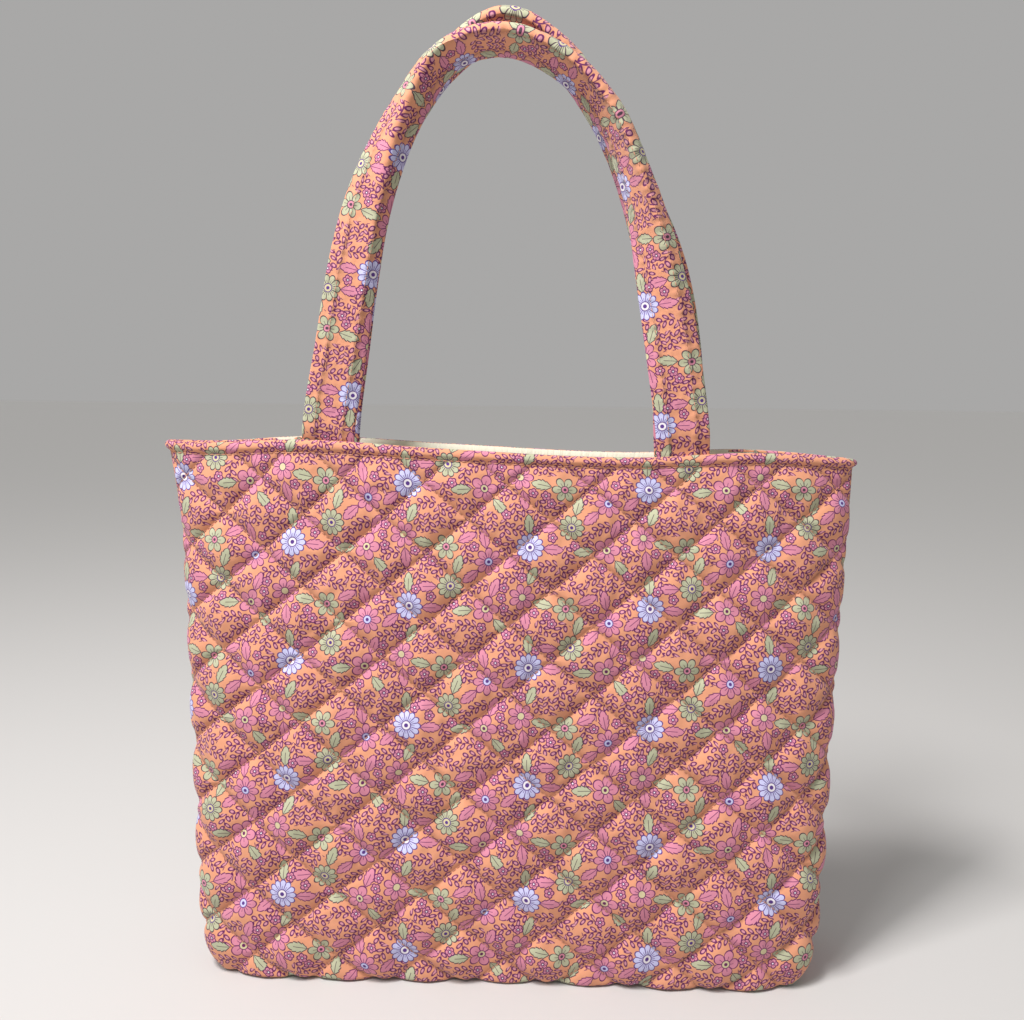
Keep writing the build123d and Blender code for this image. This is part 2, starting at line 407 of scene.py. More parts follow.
def base_edge(edge, edge_v):
    """Print coordinates of the wall's lower edge, as seen from the base."""
    return np.stack([edge[:, 0], edge_v + 0 * edge[:, 1]], axis=1)[None]


def base_rows(edge, edge_v):
    """Rows from the wall's lower edge in to the base seam, with their print coordinates."""
    rows, uvs = [], []
    depth = np.abs(edge[:, 1]).max()
    for k in range(1, BASE_ROWS + 1):
        share = 1.0 - k / BASE_ROWS
        x = edge[:, 0]
        y = edge[:, 1] * share
        v = edge_v + (depth - np.abs(y))
        lift = edge[:, 2] * (0.35 + 0.65 * share)
        down = 0.5 * puff_height(x, v, 3) * np.clip(k / 2.0, 0, 1)
        z = np.maximum(lift + 2.2 * min(k / 3.0, 1.0) - down, 0.2)
        rows.append(np.stack([x, y, z], axis=1))
        uvs.append(np.stack([x, v], axis=1))
    return np.array(rows), np.array(uvs)


def face_uvs(uv):
    """Four corner coordinates for each quad of a grid."""
    a, b = uv[:-1, :-1], uv[:-1, 1:]
    c, d = uv[1:, 1:], uv[1:, :-1]
    return list(np.stack([a, b, c, d], axis=2).reshape(-1, 4, 2))


# ---- lining and seams -----------------------------------------------------------------
LINING_INSET = 5.4
# Stitches of each kind of sewing: length, gap and half thickness.
SEAM_STITCH = (2.6, 0.7, 0.3)
RIM_STITCH = (3.0, 0.8, 0.36)
RIM_SEAM_STITCH = (3.0, 0.8, 0.3)
LINING_STITCH = (2.6, 0.7, 0.25)
STRAP_STITCH = (2.5, 0.7, 0.32)
LINING_TURN = 2.4           # the lining comes this much further out where it meets the fold
LINING_STEP = 4.0
SEAM_START = 10.0           # below the rim, down the cloth
SEAM_END = WALL_V - 34.0
BASE_SEAM_HALF = 160.0


def lining_half(name, side, seed):
    """Front or back half of the lining, from the rim down to the base seam."""
    cloth_u = np.linspace(-CLOTH_HALF, CLOTH_HALF, 161)
    wall_v = np.concatenate([[0.2, 0.9, 2.4], np.arange(5.2, WALL_V, LINING_STEP)])
    inset = LINING_INSET - LINING_TURN * (1 - np.clip(wall_v / 8.0, 0, 1)) ** 2
    points = wall_rows(wall_v, cloth_u, inset)
    normals = grid_normals(points)
    u, v = np.meshgrid(cloth_u, wall_v)
    slack = np.clip(v / 40.0, 0, 1) * np.clip((CLOTH_HALF - np.abs(u)) / 20.0, 0, 1)
    folds = 0.9 * waves(u, v * 0.25, seed, 34.0) + 0.35 * waves(u, v * 0.5, seed + 1, 12.0)
    points -= normals * (np.abs(folds) * slack)[:, :, None]
    edge = points[-1]
    base = []
    for k in range(1, BASE_ROWS + 1):
        share = 1.0 - k / BASE_ROWS
        row = edge * (1.0, share, 1.0)
        row[:, 2] = LINING_INSET + (edge[:, 2] - LINING_INSET) * share ** 2
        row[:, 2] += 0.5 * waves(row[:, 0], row[:, 1], seed + 2, 40.0) ** 2
        base.append(row)
    points = np.concatenate([points, base])
    below = wall_v[-1] + LINING_STEP * np.arange(1, BASE_ROWS + 1)
    u, v = np.meshgrid(cloth_u, np.concatenate([wall_v, below]))
    faces = grid_faces(len(points), len(cloth_u))
    seam = points[5].copy() - normals[5] * 0.3
    if side > 0:
        points = points * (1, -1, 1)
        seam = seam * (1, -1, 1)
    uvs = np.concatenate(face_uvs(np.stack([u, v], axis=2)))
    return make_mesh(name, points.reshape(-1, 3), faces, uvs), seam


def seam_line(side, inset):
    """Points down one side seam, on the wall itself."""
    seam_v = np.linspace(SEAM_START, SEAM_END, 160)
    return wall_rows(seam_v, np.array([side * CLOTH_HALF]), inset)[:, 0]


def stitches(name, runs, length, gap, radius):
    """Rows of short raised stitches. Each run is (points, normals) along one sewn line."""
    ring = 5
    profile = [(-0.5, 0.0), (-0.38, 0.75), (0.0, 1.0), (0.38, 0.75), (0.5, 0.0)]
    points, faces = [], []
    for line, normals in runs:
        steps = np.linalg.norm(np.diff(line, axis=0), axis=1)
        along = running(steps)
        count = int(along[-1] // (length + gap))
        for k in range(count):
            middle = (k + 0.5) * (length + gap)
            ends = middle - length / 2, middle + length / 2
            a, b = (np.array([np.interp(e, along, line[:, c]) for c in range(3)]) for e in ends)
            up = np.array([np.interp(middle, along, normals[:, c]) for c in range(3)])
            way = (b - a) / max(np.linalg.norm(b - a), 1e-6)
            up = up / max(np.linalg.norm(up), 1e-6)
            sideways = np.cross(up, way)
            start = len(points)
            for share, size in profile:
                centre = (a + b) / 2 + way * share * length
                if size == 0.0:
                    points.append(centre - up * radius * 0.3)
                    continue
                for r in range(ring):
                    turn = 2 * math.pi * r / ring
                    offset = sideways * math.cos(turn) + up * math.sin(turn) * 0.8
                    points.append(centre + offset * radius * size)
            last = start + 1 + 3 * ring
            for r in range(ring):
                s = (r + 1) % ring
                faces.append((start, start + 1 + s, start + 1 + r))
                for band in range(2):
                    low, high = start + 1 + band * ring, start + 1 + (band + 1) * ring
                    faces.append((low + r, low + s, high + s, high + r))
                high = start + 1 + 2 * ring
                faces.append((high + r, high + s, last))
    return make_mesh(name, points, faces)


# ---- straps ---------------------------------------------------------------------------
STRAP_WIDTH = 32.0
STITCH_ROWS = (7.6, 24.4)   # across the strap, from its inner edge
STRAP_RIB = 3.5             # thickness at the crown of a rib
STRAP_VALLEY = 1.9
STRAP_STEP = 2.0
STRAP_CREASE_DEPTH = 2.4
PUCKER_GAP = 5.5            # between the little gathers along a stitch row
STRAP_PRINT_START = 8.0     # where the print starts across a strap
STRAP_INSET = 3.4           # a strap's foot is sewn this far inside the bag's outer face
STRAP_TAIL = 1.7            # and is this thick there
TAIL_SPREAD = 0.09          # the wall moves out by this much for each millimetre down
FOOT_TAPER = 14.0           # a strap flattens towards its foot over this height
MOUTH_DEPTH = PROFILE[0][2] * BASE_HALF
# Front strap, left foot to right foot: middle of the band (x, z), then how far its outer and
# inner parts lean out of the bag's plane (degrees, + is outer edge back), and where across the
# width (share from the inner edge) one bends into the other.
FRONT_STATIONS = [
    (-108, 318, 0, 0, 0.25), (-107, 340, 0, 0, 0.25), (-99, 390, 5, -20, 0.25), (-91, 440, 10, -35, 0.25),
    (-81, 480, 25, -42, 0.3), (-60, 526, 50, -55, 0.5), (-35, 558, 62, -70, 0.75), (-5, 566, 62, -74, 0.8),
    (28, 554, 60, -72, 0.8), (55, 528, 55, -70, 0.8), (75, 485, 45, -64, 0.75), (91, 424, 22, -30, 0.75),
    (100, 374, 5, -5, 0.75), (105, 338, 0, 0, 0.75), (106, 318, 0, 0, 0.75),
]
BACK_STATIONS = [
    (-111, 318, 0, 0, 0.5), (-110, 340, 0, 0, 0.5), (-103, 390, 5, -10, 0.4), (-95, 440, 12, -34, 0.3),
    (-82, 490, 35, -52, 0.45), (-58, 535, 60, -66, 0.7), (-32, 564, 60, -70, 0.8), (-4, 579, 55, -65, 0.8),
    (25, 565, 54, -67, 0.8), (52, 533, 50, -70, 0.8), (74, 490, 42, -64, 0.75), (91, 446, 16, -34, 0.6),
    (102, 395, 4, -6, 0.5), (107, 338, 0, 0, 0.5), (108, 318, 0, 0, 0.5),
]


def strap_lines(stations, foot_y, top_y):
    """The strap's middle line and its lean values, at even steps of its length."""
    fine = curve_through(stations, 1200)
    steps = np.hypot(np.diff(fine[:, 0]), np.diff(fine[:, 1]))
    run = running(steps)
    even = np.arange(0.0, run[-1], STRAP_STEP)
    rows = np.column_stack([smooth(np.interp(even, run, fine[:, k]), 3) for k in range(5)])
    climb = np.clip((rows[:, 1] - RIM_Z) / (rows[:, 1].max() - RIM_Z), 0, 1)
    y = foot_y + (top_y - foot_y) * (1 - (1 - climb) ** 1.3)
    return rows, y


def wall_depth(x):
    """Half depth of the mouth at a place across it."""
    return MOUTH_DEPTH * (1 - np.clip(np.abs(x) / RIM_HALF, 0, 1) ** 1.8) ** (1 / 1.8)


def strap_columns():
    """Places across the strap, closer together at its edges and stitch rows."""
    low, high = STITCH_ROWS
    parts = [np.array([0.0, 0.15, 0.5, 1.0, 1.7, 2.6]), np.linspace(3.6, low - 1.1, 4),
             np.array([low - 0.5, low, low + 0.5]), np.linspace(low + 1.2, high - 1.2, 14)]
    left = np.concatenate(parts)
    ending = left[left <= low + 0.6]
    return np.concatenate([left, STRAP_WIDTH - ending[::-1]])


def rib_thickness(across):
    """Cloth thickness across the strap: three padded ribs between two stitch rows."""
    bounds = np.array([0.0, STITCH_ROWS[0], STITCH_ROWS[1], STRAP_WIDTH])
    thickness = np.zeros_like(across)
    for low, high in zip(bounds[:-1], bounds[1:]):
        inside = (across >= low) & (across <= high)
        share = (across[inside] - low) / (high - low)
        thickness[inside] = np.clip(np.sin(math.pi * share), 0, 1) ** 0.35
    from_edge = np.clip(np.minimum(across, STRAP_WIDTH - across) / 1.6, 0, 1)
    base = STRAP_VALLEY * np.sqrt(1 - (1 - from_edge) ** 2)
    return base + (STRAP_RIB - STRAP_VALLEY) * thickness


def strap_surface(stations, foot_y, top_y, seed):
    """Both faces of a strap as grids of points, with outward normals."""
    rows, spine_y = strap_lines(stations, foot_y, top_y)
    across = strap_columns()
    thickness = rib_thickness(across)
    spine = np.column_stack([rows[:, 0], spine_y, rows[:, 1]])
    along = np.gradient(spine[:, [0, 2]], axis=0)
    along /= np.linalg.norm(along, axis=1, keepdims=True)
    away = np.column_stack([-along[:, 1], along[:, 0]])
    faces = np.zeros((2, len(rows), len(across), 3))
    normals = np.zeros_like(faces)
    run = np.arange(len(rows)) * STRAP_STEP
    pucker = 1.0 + 0.10 * waves(run[:, None], across[None, :] * 2.0, seed, 9.0)
    step = np.diff(across)
    for i, (x, z, lean_out, lean_in, crease) in enumerate(rows):
        blend = 0.5 + 0.5 * np.tanh((across / STRAP_WIDTH - crease) / 0.04)
        lean = np.radians(lean_in + (lean_out - lean_in) * blend)
        in_plane = running(np.cos(lean[:-1]) * step)
        back = running(np.sin(lean[:-1]) * step)
        in_plane -= (in_plane.max() + in_plane.min()) / 2
        back -= back.mean()
        ox, oz = away[i]
        middle = np.column_stack([x + ox * in_plane, spine_y[i] + back, z + oz * in_plane])
        normal = np.column_stack([ox * np.sin(lean), -np.cos(lean), oz * np.sin(lean)])
        rise = np.clip((middle[:, 2] - RIM_Z + 1.0) / FOOT_TAPER, 0, 1)
        rise = rise * rise * (3 - 2 * rise)
        spread = TAIL_SPREAD * np.clip(RIM_Z - middle[:, 2], 0, None)
        seam_y = np.sign(foot_y) * (wall_depth(middle[:, 0]) + spread - STRAP_INSET)
        middle[:, 1] += (1 - rise) * (seam_y - middle[:, 1])
        flat = STRAP_TAIL + (thickness * pucker[i] - STRAP_TAIL) * (0.15 + 0.85 * rise)
        flat = np.minimum(flat, thickness * pucker[i])
        half = (flat / 2)[:, None]
        faces[0, i] = middle + normal * half
        faces[1, i] = middle - normal * half
        normals[0, i], normals[1, i] = normal, -normal
    return faces, normals, across, run


def make_strap(name, stations, foot_y, top_y, seed, print_drop):
    """One padded strap as a closed tube of cloth, and its four rows of stitches."""
    faces, normals, across, run = strap_surface(stations, foot_y, top_y, seed)
    front, back = faces
    loop = np.concatenate([front, back[:, -2:0:-1]], axis=1)
    around = np.concatenate([across, 2 * STRAP_WIDTH - across[-2:0:-1], [2 * STRAP_WIDTH]])
    columns = loop.shape[1]
    quads = grid_faces(len(run), columns, closed=True)
    u, v = np.meshgrid(around, run)
    turned = np.stack([u + STRAP_PRINT_START, v + print_drop], axis=2)
    corner_uvs = face_uvs(turned)
    quads.append(tuple(range(columns)))
    quads.append(tuple(range((len(run) - 1) * columns, len(run) * columns))[::-1])
    corner_uvs.append(turned[0, :-1])
    corner_uvs.append(turned[-1, :-1][::-1])
    strap = make_mesh(name, loop.reshape(-1, 3), quads, np.concatenate(corner_uvs))
    lines = []
    first = np.searchsorted(run, 16.0)
    for row in STITCH_ROWS:
        k = int(np.argmin(np.abs(across - row)))
        for side in (0, 1):
            lines.append((faces[side, first:-first, k] + 0.05 * normals[side, first:-first, k],
                          normals[side, first:-first, k]))
    sewing = stitches(name + "_stitches", lines, *STRAP_STITCH)
    return strap, sewing


# ---- node-built cloth ------------------------------------------------------------------
class Value:
    """A number in a shader tree. Plain arithmetic on it adds the Math nodes."""

    def __init__(self, tree, socket):
        self.tree = tree
        self.socket = socket

    def math(self, operation, *others, clamp=False):
        node = self.tree.nodes.new("ShaderNodeMath")
        node.operation = operation
        node.use_clamp = clamp
        for slot_number, item in enumerate((self,) + others):
            if isinstance(item, Value):
                self.tree.links.new(item.socket, node.inputs[slot_number])
            else:
                node.inputs[slot_number].default_value = item
        return Value(self.tree, node.outputs[0])

    def __add__(self, other):
        return self.math("ADD", other)

    def __sub__(self, other):
        return self.math("SUBTRACT", other)

    def __mul__(self, other):
        return self.math("MULTIPLY", other)

    def __truediv__(self, other):
        return self.math("DIVIDE", other)

    def __abs__(self):
        return self.math("ABSOLUTE")

    def below(self, limit, soft=0.14):
        """1 where the value is under limit, 0 above, with a soft step this wide."""
        return ((self - limit) * (-1.0 / soft)).math("ADD", 0.5, clamp=True)

    def above(self, limit, soft=0.14):
        return ((self - limit) * (1.0 / soft)).math("ADD", 0.5, clamp=True)

    def wrap(self, half):
        return self.math("WRAP", half, -half)


def mix(tree, mask, under, over, kind="RGBA"):
    """One colour, or vector, laid over another where the mask is 1."""
    node = tree.nodes.new("ShaderNodeMix")
    node.data_type = kind
    tree.links.new(mask.socket, node.inputs["Factor"])
    for name, item in (("A", under), ("B", over)):
        socket = next(s for s in node.inputs if s.name == name and s.type == kind)
        if isinstance(item, tuple):
            socket.default_value = (*item, 1.0)
        else:
            tree.links.new(item, socket)
    return next(s for s in node.outputs if s.type == kind)


# ---- the print: a plain small floral of its own, in half-drop repeat ---------------------
REPEAT = 72.0
GROUND = (0.730, 0.318, 0.180)
PINK = (0.640, 0.235, 0.330)
ROSE_LINE = (0.120, 0.008, 0.095)
SAGE = (0.455, 0.465, 0.310)
OLIVE_LINE = (0.070, 0.035, 0.055)
LILAC = (0.560, 0.560, 0.820)
VIOLET = (0.085, 0.028, 0.220)
PALE = (0.780, 0.740, 0.780)
BUTTER = (0.620, 0.540, 0.320)
LEAFLET = (0.620, 0.270, 0.330)
# Kinds of large flower: petals, radius, how deep and how sharp the petals are cut, fill, line,
# and the rings of the centre as (radius, colour).
FLOWER_KINDS = [
    (5, 8.0, 0.45, 0.7, PINK, ROSE_LINE, [(2.6, ROSE_LINE), (2.1, BUTTER), (1.0, ROSE_LINE)]),
    (12, 8.4, 0.22, 0.7, LILAC, VIOLET, [(2.9, VIOLET), (2.4, PALE), (1.2, VIOLET)]),
    (6, 7.6, 0.50, 0.7, SAGE, OLIVE_LINE, [(2.4, OLIVE_LINE), (1.9, PINK), (0.9, OLIVE_LINE)]),
    (8, 8.2, 0.35, 0.7, PINK, ROSE_LINE, [(2.6, VIOLET), (2.1, LILAC), (1.0, VIOLET)]),
    (7, 7.8, 0.40, 0.7, PINK, ROSE_LINE, [(2.4, ROSE_LINE), (1.9, BUTTER)]),
    (10, 7.6, 0.25, 0.7, SAGE, OLIVE_LINE, [(2.6, VIOLET), (2.1, BUTTER), (1.0, VIOLET)]),
]
FLOWER_ROOM = 9.0
LEAVES_EACH = 3             # leaves set round each large flower
LEAF_REACH = 14.0           # from a flower's middle to its leaves' middles
LEAF_ROOM = 3.6
LEAF_SIZE = (6.0, 3.0)      # half length and half width
SPRIG_HALF = 6.0
SPRIG_ROOM = 2.9
FLORET_ROOM = 3.0


def repeat_place(x, y, place_x, place_y):
    """Coordinates about the nearest copy of a motif in the half-drop repeat."""
    dx = x - place_x
    local_x = dx.wrap(REPEAT / 2)
    drop = (dx - local_x) * -0.5
    local_y = (drop + (y - place_y)).wrap(REPEAT / 2)
    return local_x, local_y


def nearest_place(tree, x, y, places):
    """Coordinates about the nearest of several motifs, each turned by its own angle."""
    best = None
    for place_x, place_y, angle in places:
        lx, ly = repeat_place(x, y, place_x, place_y)
        distance = lx * lx + ly * ly
        packed = tree.nodes.new("ShaderNodeCombineXYZ")
        tree.links.new(lx.socket, packed.inputs[0])
        tree.links.new(ly.socket, packed.inputs[1])
        packed.inputs[2].default_value = math.radians(angle)
        if best is None:
            best, nearest = packed.outputs[0], distance
            continue
        closer = distance.math("LESS_THAN", nearest)
        best = mix(tree, closer, best, packed.outputs[0], "VECTOR")
        nearest = distance.math("MINIMUM", nearest)
    split = tree.nodes.new("ShaderNodeSeparateXYZ")
    tree.links.new(best, split.inputs[0])
    lx, ly, angle = (Value(tree, s) for s in split.outputs)
    cos, sin = angle.math("COSINE"), angle.math("SINE")
    return lx * cos + ly * sin, ly * cos - lx * sin


def polar(x, y):
    radius = (x * x + y * y).math("SQRT")
    return radius, y.math("ARCTAN2", x)


def bloom(tree, colour, x, y, petals, radius, depth, sharpness, fill, line, centre):
    """A flower with separate petals: fill, veins, outline, then its centre rings."""
    r, angle = polar(x, y)
    wave = abs((angle * (petals / 2.0)).math("COSINE"))
    across = abs((angle * (petals / 2.0)).math("SINE"))
    edge = wave.math("POWER", sharpness) * (radius * depth) + radius * (1.0 - depth)
    inside = (r - edge).below(0.0)
    gap = wave * r * (2.0 / petals) - r * (0.24 / petals)
    rib = across * r * (2.0 / petals)
    colour = mix(tree, inside, colour, fill)
    vein = rib.below(0.14) * r.below(radius * 0.6) * inside
    colour = mix(tree, vein, colour, line)
    split = gap.below(0.13) * inside
    colour = mix(tree, split, colour, line)
    outline = abs(r - edge).below(0.36) * r.above(radius * 0.25)
    colour = mix(tree, outline, colour, line)
    for ring_radius, ring_colour in centre:
        colour = mix(tree, r.below(ring_radius), colour, ring_colour)
    return colour


def leaves(tree, colour, x, y, places, half_length, half_width, fill, line):
    """Pointed leaves with toothed sides and a midrib."""
    lx, ly = nearest_place(tree, x, y, places)
    share = lx / half_length
    tooth = ((lx * (1.0 / 2.6)).math("FRACT") * 0.28).math("SUBTRACT", 0.14)
    taper = (share * share).math("MULTIPLY_ADD", -1.0, 1.0).math("MAXIMUM", 0.0)
    width = taper.math("POWER", 0.8) * (tooth + 1.0) * half_width
    reach = abs(lx).below(half_length + 0.2)
    colour = mix(tree, (abs(ly) - width).below(0.25) * reach, colour, line)
    colour = mix(tree, (abs(ly) - width).below(-0.38) * reach, colour, fill)
    rib = abs(ly).below(0.17) * lx.below(half_length * 0.35) * (lx + half_length * 1.35).above(0.0)
    return mix(tree, rib, colour, line)


def florets(tree, colour, x, y, places):
    """Small five-petal flowers."""
    lx, ly = nearest_place(tree, x, y, places)
    return bloom(tree, colour, lx, ly, 5, 2.9, 0.28, 0.8, PINK, ROSE_LINE,
                 [(0.95, ROSE_LINE), (0.45, PALE)])


def sprigs(tree, colour, x, y, places, half_length):
    """Thin stems with outlined leaflets on both sides in turn."""
    lx, ly = nearest_place(tree, x, y, places)
    bend = ly + lx * lx * 0.035
    along = (lx + bend.math("SIGN") * 1.05).wrap(2.1)
    reach = abs(lx).below(half_length)
    colour = mix(tree, abs(bend).below(0.22) * reach, colour, ROSE_LINE)
    out = abs(bend) - 1.9
    a = (along + out) * (0.7071 / 2.3)
    b = (along - out) * (0.7071 / 1.15)
    leaflet = (a * a + b * b).math("SQRT")
    colour = mix(tree, leaflet.below(1.0, 0.15) * reach, colour, ROSE_LINE)
    return mix(tree, leaflet.below(0.54, 0.15) * reach, colour, LEAFLET)


def repeat_distance(x, y, place_x, place_y):
    """Distance of points to the nearest copy of a place in the half-drop repeat."""
    best = np.full(np.broadcast(x, y).shape, 1e9)
    for column in (-2, -1, 0, 1, 2):
        dx = x - place_x - column * REPEAT
        dy = y - place_y - column * REPEAT / 2
        dy = (dy + REPEAT / 2) % REPEAT - REPEAT / 2
        best = np.minimum(best, np.hypot(dx, dy))
    return best


def room_left(x, y, discs):
    """Distance from points to the nearest edge of the motifs' discs."""
    room = np.full(np.shape(x), 1e9)
    for px, py, radius in discs:
        room = np.minimum(room, repeat_distance(x, y, px, py) - radius)
    return room


def sprig_discs(place_x, place_y, angle):
    """Discs that cover a sprig."""
    cos, sin = math.cos(math.radians(angle)), math.sin(math.radians(angle))
    reach = 0.6 * SPRIG_HALF
    return [(place_x + k * reach * cos, place_y + k * reach * sin, SPRIG_ROOM) for k in (-1, 0, 1)]


def set_flowers(rng):
    """The large flowers, each in the widest gap left, a little off its middle."""
    x, y = np.meshgrid(np.arange(0.0, REPEAT, 2.0), np.arange(0.0, REPEAT, 2.0))
    discs = [(rng.uniform(0, REPEAT), rng.uniform(0, REPEAT), FLOWER_ROOM)]
    for _ in FLOWER_KINDS[1:]:
        k = int(np.argmax(room_left(x, y, discs)))
        shift = rng.uniform(-2.5, 2.5, 2)
        discs.append((float(x.flat[k] + shift[0]), float(y.flat[k] + shift[1]), FLOWER_ROOM))
    return discs


def set_leaves(rng, discs):
    """Leaves round each flower, pointing away from it, where there is room for them."""
    placed = {"pink": [], "sage": []}
    for number, (fx, fy, _) in enumerate(list(discs)):
        start = rng.uniform(0, 360)
        for k in range(LEAVES_EACH):
            angle = start + k * 360 / LEAVES_EACH + rng.uniform(-20, 20)
            px = fx + LEAF_REACH * math.cos(math.radians(angle))
            py = fy + LEAF_REACH * math.sin(math.radians(angle))
            if room_left(px, py, discs) < LEAF_ROOM:
                continue
            discs.append((px, py, LEAF_ROOM))
            placed["pink" if (number + k) % 2 else "sage"].append((px, py, angle))
    return placed


def fill_ground(rng, discs, sprig_room, floret_room):
    """Sprigs, then florets, in the widest gaps left between the motifs."""
    x, y = np.meshgrid(np.arange(0.0, REPEAT, 1.5), np.arange(0.0, REPEAT, 1.5))
    placed = {"sprig": [], "floret": []}
    room = room_left(x, y, discs)
    while room.max() > floret_room:
        k = int(np.argmax(room))
        px, py = float(x.flat[k]), float(y.flat[k])
        if room.flat[k] > sprig_room:
            angle = max(rng.uniform(0, 180, 6), key=lambda turn: min(
                room_left(qx, qy, discs) for qx, qy, _ in sprig_discs(px, py, turn)))
            placed["sprig"].append((px, py, angle))
            new = sprig_discs(px, py, angle)
        else:
            placed["floret"].append((px, py, 24 * (len(placed["floret"]) % 3)))
            new = [(px, py, FLORET_ROOM)]
        discs.extend(new)
        room = np.minimum(room, room_left(x, y, new))
    return placed


def floral_print(tree, x, y):
    """Colour of the printed cotton at cloth coordinates in millimetres, y down the cloth."""
    rng = np.random.default_rng(5)
    flowers = set_flowers(rng)
    discs = list(flowers)
    leaf = set_leaves(rng, discs)
    small = fill_ground(rng, discs, 3.0, 2.0)
    colour = mix(tree, x * 0.0, GROUND, GROUND)
    colour = sprigs(tree, colour, x, y, small["sprig"], SPRIG_HALF)
    colour = leaves(tree, colour, x, y, leaf["pink"], *LEAF_SIZE, PINK, ROSE_LINE)
    colour = leaves(tree, colour, x, y, leaf["sage"], *LEAF_SIZE, SAGE, OLIVE_LINE)
    colour = florets(tree, colour, x, y, small["floret"])
    for kind, (px, py, _) in zip(FLOWER_KINDS, flowers):
        colour = bloom(tree, colour, *repeat_place(x, y, px, py), *kind)
    return colour


# ---- materials --------------------------------------------------------------------------
WEAVE_DEPTH = 0.03


def new_material(name, roughness, sheen=0.0):
    material = bpy.data.materials.new(name)
    material.use_nodes = True
    tree = material.node_tree
    shader = tree.nodes["Principled BSDF"]
    shader.inputs["Roughness"].default_value = roughness
    shader.inputs["Sheen Weight"].default_value = sheen
    return material, tree, shader


def cloth_coordinates(tree):
    """The cloth's own coordinates in millimetres."""
    uv = tree.nodes.new("ShaderNodeUVMap")
    uv.uv_map = "Cloth"
    split = tree.nodes.new("ShaderNodeSeparateXYZ")
    tree.links.new(uv.outputs[0], split.inputs[0])
    return uv.outputs[0], Value(tree, split.outputs[0]), Value(tree, split.outputs[1])


def noise(tree, coordinates, scale, detail=2.0, distortion=0.0):
    node = tree.nodes.new("ShaderNodeTexNoise")
    node.noise_dimensions = "2D"
    node.inputs["Scale"].default_value = scale
    node.inputs["Detail"].default_value = detail
    node.inputs["Distortion"].default_value = distortion
    tree.links.new(coordinates, node.inputs["Vector"])
    return Value(tree, node.outputs[0])


def bump(tree, shader, height, distance):
    node = tree.nodes.new("ShaderNodeBump")
    node.inputs["Distance"].default_value = distance
    tree.links.new(height, node.inputs["Height"])
    tree.links.new(node.outputs[0], shader.inputs["Normal"])


def weave_bump(tree, shader, x, y, pitch, extra):
    """Plain weave: threads over and under at this pitch, with extra height, in millimetres."""
    turn = 2 * math.pi / pitch
    weave = (x * turn).math("SINE") * (y * turn).math("SINE")
    bump(tree, shader, (weave * WEAVE_DEPTH + extra).socket, MM)


def quilted_crease(x, y):
    """The sharp valley along the panels' stitch lines, in millimetres of height."""
    line_gap = 1.0 / math.hypot(1.0 / DIAMOND_WIDTH, 1.0 / DIAMOND_HEIGHT)
    p, q = quilt_lines(x, y)
    nearest = abs(p.wrap(0.5)).math("MINIMUM", abs(q.wrap(0.5))) * line_gap
    valley = (nearest * (-1.0 / CREASE_REACH)).math("EXPONENT") * -CREASE_DEPTH
    return valley * y.above(TOPSTITCH_V, 4.0)


def strap_crease(x, y):
    """The sharp valleys along a strap's two stitch rows."""
    half = STRAP_WIDTH / 2
    from_middle = abs((x - (half + STRAP_PRINT_START)).wrap(half))
    nearest = abs(from_middle - (half - STITCH_ROWS[0]))
    pucker = (y * (2 * math.pi / PUCKER_GAP)).math("SINE") * 0.12 + 1.0
    return (nearest * (-1.0 / CREASE_REACH)).math("EXPONENT") * pucker * -STRAP_CREASE_DEPTH


def printed_cotton(name, crease_shape, shift=(0.0, 0.0)):
    """The floral cloth, creased along its sewing. The shift moves its print."""
    material, tree, shader = new_material(name, 0.88, 0.12)
    place, x, y = cloth_coordinates(tree)
    colour = floral_print(tree, x + shift[0], y + shift[1])
    patch = noise(tree, place, 0.02, 3.0)
    fade = tree.nodes.new("ShaderNodeHueSaturation")
    tree.links.new(colour, fade.inputs["Color"])
    tree.links.new((patch * 0.16 + 0.92).socket, fade.inputs["Value"])
    tree.links.new(fade.outputs[0], shader.inputs["Base Color"])
    crease = noise(tree, place, 0.16, 3.0) * 0.35 + crease_shape(x, y)
    weave_bump(tree, shader, x, y, 0.62, crease)
    return material


def plain_cotton(name, colour, roughness, pitch, crease_depth, stretch=1.0):
    material, tree, shader = new_material(name, roughness, 0.1)
    place, x, y = cloth_coordinates(tree)
    patch = noise(tree, place, 0.03, 3.0)
    darker = tuple(c * 0.86 for c in colour)
    mixed = mix(tree, patch, darker, colour)
    tree.links.new(mixed, shader.inputs["Base Color"])
    squeezed = tree.nodes.new("ShaderNodeCombineXYZ")
    tree.links.new(x.socket, squeezed.inputs[0])
    tree.links.new((y * stretch).socket, squeezed.inputs[1])
    crease = noise(tree, squeezed.outputs[0], 0.35, 3.0, 0.3) * crease_depth
    weave_bump(tree, shader, x, y, pitch, crease)
    return material


def thread_material(name, colour):
    material, tree, shader = new_material(name, 0.6, 0.0)
    geometry = tree.nodes.new("ShaderNodeTexCoord")
    grain = tree.nodes.new("ShaderNodeTexNoise")
    grain.inputs["Scale"].default_value = 900.0
    tree.links.new(geometry.outputs["Object"], grain.inputs["Vector"])
    darker = tuple(c * 0.7 for c in colour)
    mixed = mix(tree, Value(tree, grain.outputs[0]), darker, colour)
    tree.links.new(mixed, shader.inputs["Base Color"])
    bump(tree, shader, grain.outputs[0], 0.1 * MM)
    return material


def dress(obj, material):
    obj.data.materials.clear()
    obj.data.materials.append(material)


def sew_on(obj, material, slot_name, *nodes):
    """A piece that is sewn to the bag itself, in place of the CAD nodes it stands for."""
    dress(obj, material)
    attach(obj, "bag")
    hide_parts(*nodes)


